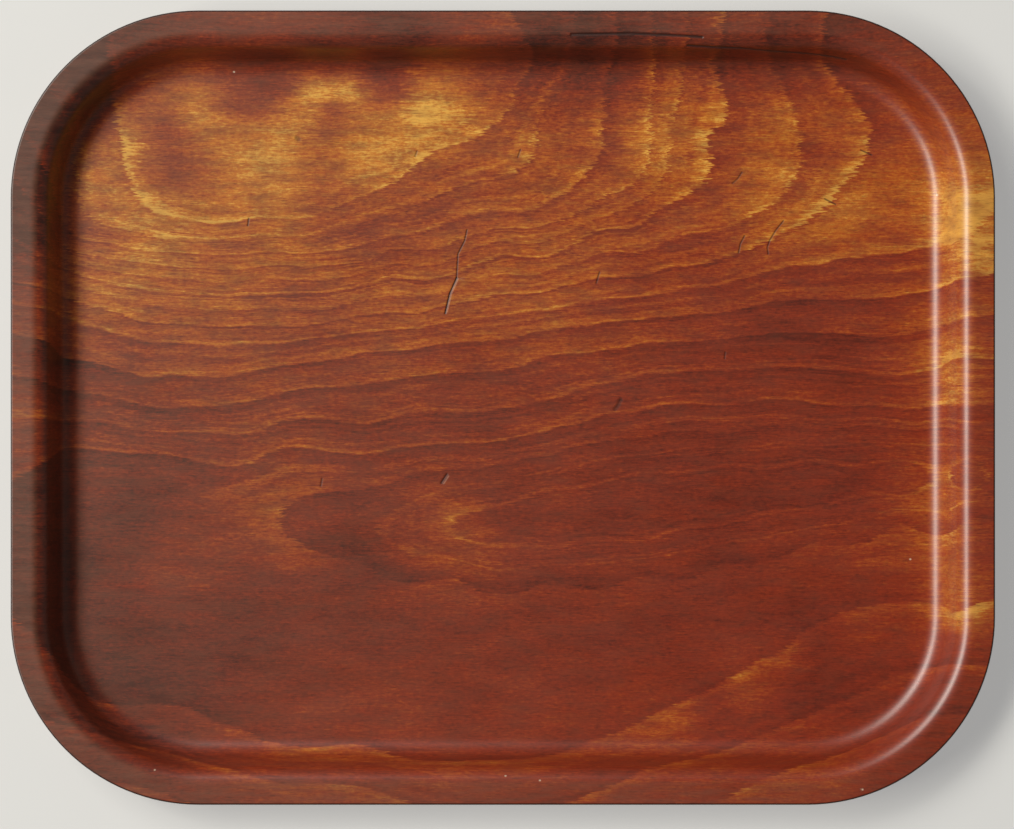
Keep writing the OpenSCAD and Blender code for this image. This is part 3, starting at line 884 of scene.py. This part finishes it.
# %% [markdown]
# ## The figure on the face veneer
# On the real sheet the figure lies in the wood, and the press bends it with the sheet. So the numbers
# that the finish draws the figure by are stored at the mesh's points, worked out from each point's place
# on the flat sheet: the ring, how fast it changes, and the tone. One more number says how the lacquer has
# worn: 1 on the floor, where things slide, 2 on the rim, where hands hold it, and 0 in the bends, which
# nothing touches.

# %% Write the figure on a mesh
FLOOR_WEAR_ENDS = 0.35 * MM
RIM_WEAR_STARTS = 0.97


def store(mesh, name, values):
    """Stores one number for each point of the mesh."""
    mesh.attributes.new(name, "FLOAT", "POINT").data.foreach_set("value", values.astype(np.float32))


def write_figure(mesh):
    """Stores the ring, its slopes, the gold tone and its slope, and the wear at every point of the mesh."""
    count = len(mesh.vertices)
    flat = np.empty(count * 3, np.float32)
    mesh.attributes["sheet"].data.foreach_get("vector", flat)
    flat = flat.reshape(-1, 3)[:, :2].astype(float) / MM
    along = np.array([1.0, 0.0])
    across = np.array([0.0, 1.0])
    slope = (rings(flat + along) - rings(flat - along)) / 2
    slope_across = (rings(flat + across) - rings(flat - across)) / 2
    store(mesh, "steep", np.hypot(slope, slope_across))
    store(mesh, "tone_slope", (gold(flat + along) - gold(flat - along)) / 2)
    figure = np.c_[rings(flat), slope, np.clip(gold(flat), 0.0, 1.0)].astype(np.float32)
    mesh.attributes.new("figure", "FLOAT_VECTOR", "POINT").data.foreach_set("vector", figure.ravel())
    heights = np.empty(count * 3, np.float32)
    mesh.vertices.foreach_get("co", heights)
    above_floor = heights[2::3] - stack
    on_floor = np.clip(1 - above_floor / FLOOR_WEAR_ENDS, 0, 1)
    on_rim = np.clip((above_floor / RIM_RISE - RIM_WEAR_STARTS) / (1 - RIM_WEAR_STARTS), 0, 1)
    store(mesh, "worn", on_floor + on_rim * 2)
    span = [round(float(end), 1) for end in (figure[:, 0].min(), figure[:, 0].max())]
    print("rings on the face run from", span[0], "to", span[1])


# %% [markdown]
# ## Marks of use
# A long scratch, short nicks, two splits in the tight bend of the back wall and a few specks where the
# stain has chipped off. They are real hollows, so they are cut into the mesh: edges near a mark are
# halved a few times, and then the points are pushed in. Each point also keeps how marked it is, so that
# the finish can darken or pale it.

# %% Scratches, nicks, splits and specks
# Each mark: how dark it is (below 0 it is pale), its width and depth in mm, and its path on the flat
# sheet.
MARKS = (
    (0.8, 0.55, 0.12, ((-15.9, 78.6), (-16.9, 73.9), (-19.9, 67.9), (-20.5, 57.2))),
    (1.0, 0.65, 0.2, ((-20.5, 57.2), (-23.5, 50.5), (-25.5, 41.8))),
    (-0.25, 0.35, 0.02, ((-19.7, 57.0), (-22.7, 50.5), (-24.7, 42.3))),
    (1.0, 0.9, 0.35, ((30, 173.2), (56, 173.6), (65, 173.2), (79, 172.6), (87, 172.0))),
    (1.0, 1.0, 0.4, ((81, 167.8), (92, 166.8), (104, 166.0), (115, 163.8), (136, 160.4), (152, 157.8))),
    (0.75, 0.55, 0.12, ((106.8, 75.9), (105.0, 72.5), (104.2, 68.6))),
    (0.7, 0.55, 0.12, ((124, 82.6), (120.5, 78.2), (117.9, 73.8), (116.9, 70.8), (117.3, 68))),
    (0.6, 0.6, 0.1, ((105.6, 104), (103.8, 101.2), (101.5, 99.3))),
    (0.8, 0.5, 0.1, ((158.3, 113.9), (162.9, 111.8))),
    (0.8, 0.5, 0.1, ((142.4, 92.3), (147.1, 89.9))),
    (0.7, 0.6, 0.1, ((42.7, 59.9), (41.3, 55.2))),
    (0.6, 1.3, 0.1, ((52.0, 3.5), (50.5, 0.5), (49.5, -0.5))),
    (0.8, 0.8, 0.15, ((-24.8, -29.5), (-27.2, -33.2))),
    (-0.2, 0.4, 0.02, ((-24.0, -30.2), (-26.2, -33.6))),
    (0.6, 0.7, 0.1, ((-80, -31.5), (-80.5, -34.5))),
    (0.6, 0.6, 0.1, ((98.3, 24.5), (98.0, 21.8))),
    (0.8, 0.6, 0.1, ((-112.4, 83.6), (-112.8, 80.6))),
    (0.6, 1.4, 0.1, ((-91.2, 119.2), (-90.4, 118.8))),
    (0.6, 0.6, 0.1, ((7.8, 114.2), (6.6, 110.8))),
    (0.5, 0.6, 0.1, ((-38.0, 113.4), (-38.8, 111.2))),
    (-0.9, 0.5, 0.08, ((-119, 148.5), (-118.8, 148.5))),
    (-0.9, 0.6, 0.08, ((192, 94), (192.2, 94))),
    (-0.9, 0.5, 0.08, ((180, -67), (180.2, -67))),
    (-0.9, 0.5, 0.08, ((160, -176.5), (160.2, -176.5))),
    (-0.7, 0.5, 0.08, ((1, -171), (1.2, -171))),
    (-0.7, 0.5, 0.08, ((16, -173), (16.2, -173))),
    (-0.7, 0.5, 0.08, ((-155, -168), (-154.8, -168))),
)
print("marks of use:", len(MARKS))


# %% Distance to a mark
def distance_to_path(points, path):
    """The distance of every point from a path of straight pieces."""
    nearest = np.full(len(points), np.inf)
    for start, end in zip(np.array(path, float), np.array(path[1:], float)):
        run = end - start
        share = np.clip((points - start) @ run / (run @ run), 0, 1)
        nearest = np.minimum(nearest, np.linalg.norm(points - start - share[:, None] * run, axis=1))
    return nearest


# %% Cut the marks into a mesh
FINEST_EDGE = 0.35
HALVINGS = 4
EDGE_REACH = 0.6
SKIN = 0.01 * MM
MARK_SPREAD = 1.6


def refine_near_marks(shell):
    """Halves the edges of the top surface that lie near a mark, until they are fine."""
    flat = shell.verts.layers.float_vector["sheet"]
    depth = shell.verts.layers.float["depth"]
    for halving in range(HALVINGS):
        edges = [edge for edge in shell.edges if max(vert[depth] for vert in edge.verts) < SKIN]
        middles = np.array([(edge.verts[0][flat].xy + edge.verts[1][flat].xy) / 2 for edge in edges]) / MM
        lengths = np.array([edge.calc_length() for edge in edges]) / MM
        near = np.zeros(len(edges), bool)
        for strength, wide, deep, path in MARKS:
            near |= distance_to_path(middles, path) < wide + lengths * EDGE_REACH
        chosen = [edge for edge, close in zip(edges, near & (lengths > FINEST_EDGE)) if close]
        bmesh.ops.subdivide_edges(shell, edges=chosen, cuts=1, use_grid_fill=True)
    bmesh.ops.triangulate(shell, faces=[face for face in shell.faces if len(face.verts) > 4])
    shell.normal_update()


def cut_marks(mesh):
    """Refines the mesh near each mark, presses the mark in and writes how marked each point is."""
    shell = bmesh.new()
    shell.from_mesh(mesh)
    marked = shell.verts.layers.float.new("marks")
    refine_near_marks(shell)
    flat = shell.verts.layers.float_vector["sheet"]
    depth = shell.verts.layers.float["depth"]
    top = [vert for vert in shell.verts if vert[depth] < SKIN]
    places = np.array([vert[flat].xy for vert in top]) / MM
    for strength, wide, deep, path in MARKS:
        profile = np.clip(1 - distance_to_path(places, path) / wide, 0, 1)
        for index in np.nonzero(profile)[0]:
            vert = top[index]
            vert.co -= vert.normal * float(profile[index]) * deep * MM
            vert[marked] += strength * float(min(1.0, profile[index] * MARK_SPREAD))
    shell.to_mesh(mesh)
    shell.free()
    mesh.set_sharp_from_angle(angle=CRISP)
    print("face veneer now has", sum(len(face.vertices) - 2 for face in mesh.polygons), "triangles")


cut_marks(pieces["face_veneer"].data)
write_figure(pieces["face_veneer"].data)

# %% [markdown]
# ## Handing the sheets over
# All nine sheets are one rigid body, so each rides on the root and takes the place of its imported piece,
# with the material slot that the record gives it.

# %% Hand the sheets to the frame
for name, piece in pieces.items():
    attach(piece, "root")
    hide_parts(name)
print("sheets handed over:", len(pieces))

# %% [markdown]
# ## A plain place to stand, light and a camera
# The tray lies on a pale floor of matt paper, which glows a little of its own so that it stays pale under
# a dim light. Three panes of a window to the left light it from about forty degrees off the upright. That
# leaves the left and back walls dark and draws two thin lines of light along the right-hand bends. The
# camera looks straight down from far off, so that nothing converges.

# %% Floor
def floor_finish():
    """Matt pale paper, which gives the eye a quiet, even ground with hardly a shade across it."""
    material = bpy.data.materials.new("matt_pale_paper")
    material.use_nodes = True
    tree = material.node_tree
    tree.nodes.clear()
    place = add(tree, "ShaderNodeTexCoord", output=3)
    mottle = add(tree, "ShaderNodeTexNoise", {"Vector": place, "Scale": 9.0, "Detail": 2.0})
    ramp = add(tree, "ShaderNodeValToRGB", {0: mottle}, output=None)
    for element, colour in zip(ramp.color_ramp.elements, ("#a0a09e", "#a8a8a6")):
        element.color = linear(colour)
    shader = add(tree, "ShaderNodeBsdfPrincipled", {
        "Base Color": ramp.outputs[0], "Roughness": 0.9, "Emission Color": linear("#fbfbfa"),
        "Emission Strength": 0.34})
    add(tree, "ShaderNodeOutputMaterial", {"Surface": shader}, output=None)
    return material


FLOOR_SIZE = 4.0
FLOOR_GAP = 0.2 * MM
floor_level = cad_box[0][2] - FLOOR_GAP
floor_mesh = bpy.data.meshes.new("floor")
corners = [(x * FLOOR_SIZE, y * FLOOR_SIZE, floor_level) for x, y in ((-1, -1), (1, -1), (1, 1), (-1, 1))]
floor_mesh.from_pydata(corners, [], [(0, 1, 2, 3)])
floor_mesh.materials.append(floor_finish())
floor = bpy.data.objects.new("floor", floor_mesh)
bpy.context.scene.collection.objects.link(floor)
print("floor, m across:", 2 * FLOOR_SIZE)

# %% Window panes
WINDOW_DISTANCE = 3.2
WINDOW_TILT = math.radians(43)
DAYLIGHT = "#fffbf2"
# Each pane: its bearing in degrees, from the left towards the back, its power, and its width and height
# in m.
PANES = ((-8, 42.0, 1.06, 0.8), (20, 42.0, 1.06, 0.85), (42, 48.0, 1.5, 1.3))
for index, (turn, power, wide, tall) in enumerate(PANES):
    bearing = math.radians(180 - turn)
    out = WINDOW_DISTANCE * math.sin(WINDOW_TILT)
    up = WINDOW_DISTANCE * math.cos(WINDOW_TILT)
    spot = Vector((out * math.cos(bearing), out * math.sin(bearing), up))
    lamp = bpy.data.lights.new(f"window_pane_{index}", "AREA")
    lamp.shape = "RECTANGLE"
    lamp.size = wide
    lamp.size_y = tall
    lamp.energy = power
    lamp.color = linear(DAYLIGHT)[:3]
    pane = bpy.data.objects.new(lamp.name, lamp)
    pane.location = spot
    pane.rotation_euler = (-spot).to_track_quat("-Z", "Y").to_euler()
    bpy.context.scene.collection.objects.link(pane)
print("window panes:", len(PANES))

# %% The room's fill
ROOM_LIGHT = "#f6eee0"
GLOW_AT_HORIZON = 0.2
GLOW_OVERHEAD = 0.04
world = bpy.data.worlds.new("room")
world.use_nodes = True
room = world.node_tree
room.nodes.clear()
looking = add(room, "ShaderNodeTexCoord")
upwards = add(room, "ShaderNodeSeparateXYZ", {0: looking}, output=None).outputs[2]
glow = add(room, "ShaderNodeMapRange", {0: upwards, 3: GLOW_AT_HORIZON, 4: GLOW_OVERHEAD})
background = add(room, "ShaderNodeBackground", {"Color": linear(ROOM_LIGHT), "Strength": glow})
add(room, "ShaderNodeOutputWorld", {"Surface": background}, output=None)
bpy.context.scene.world = world
bpy.context.scene.view_settings.view_transform = "Standard"

# %% Camera
# The share of the frame's width that the tray fills, and the point over which the camera hangs.
TRAY_SHARE = 0.9714
LENS = 120.0
SENSOR = 36.0
AIM = (1.8 * MM, -3.0 * MM)
camera_data = bpy.data.cameras.new("camera")
camera_data.lens = LENS
camera_data.sensor_width = SENSOR
camera_distance = length / TRAY_SHARE * LENS / SENSOR
camera = bpy.data.objects.new("camera", camera_data)
camera.location = (AIM[0], AIM[1], height + camera_distance)
bpy.context.scene.collection.objects.link(camera)
bpy.context.scene.camera = camera
print("camera height, m:", round(camera.location.z, 3))
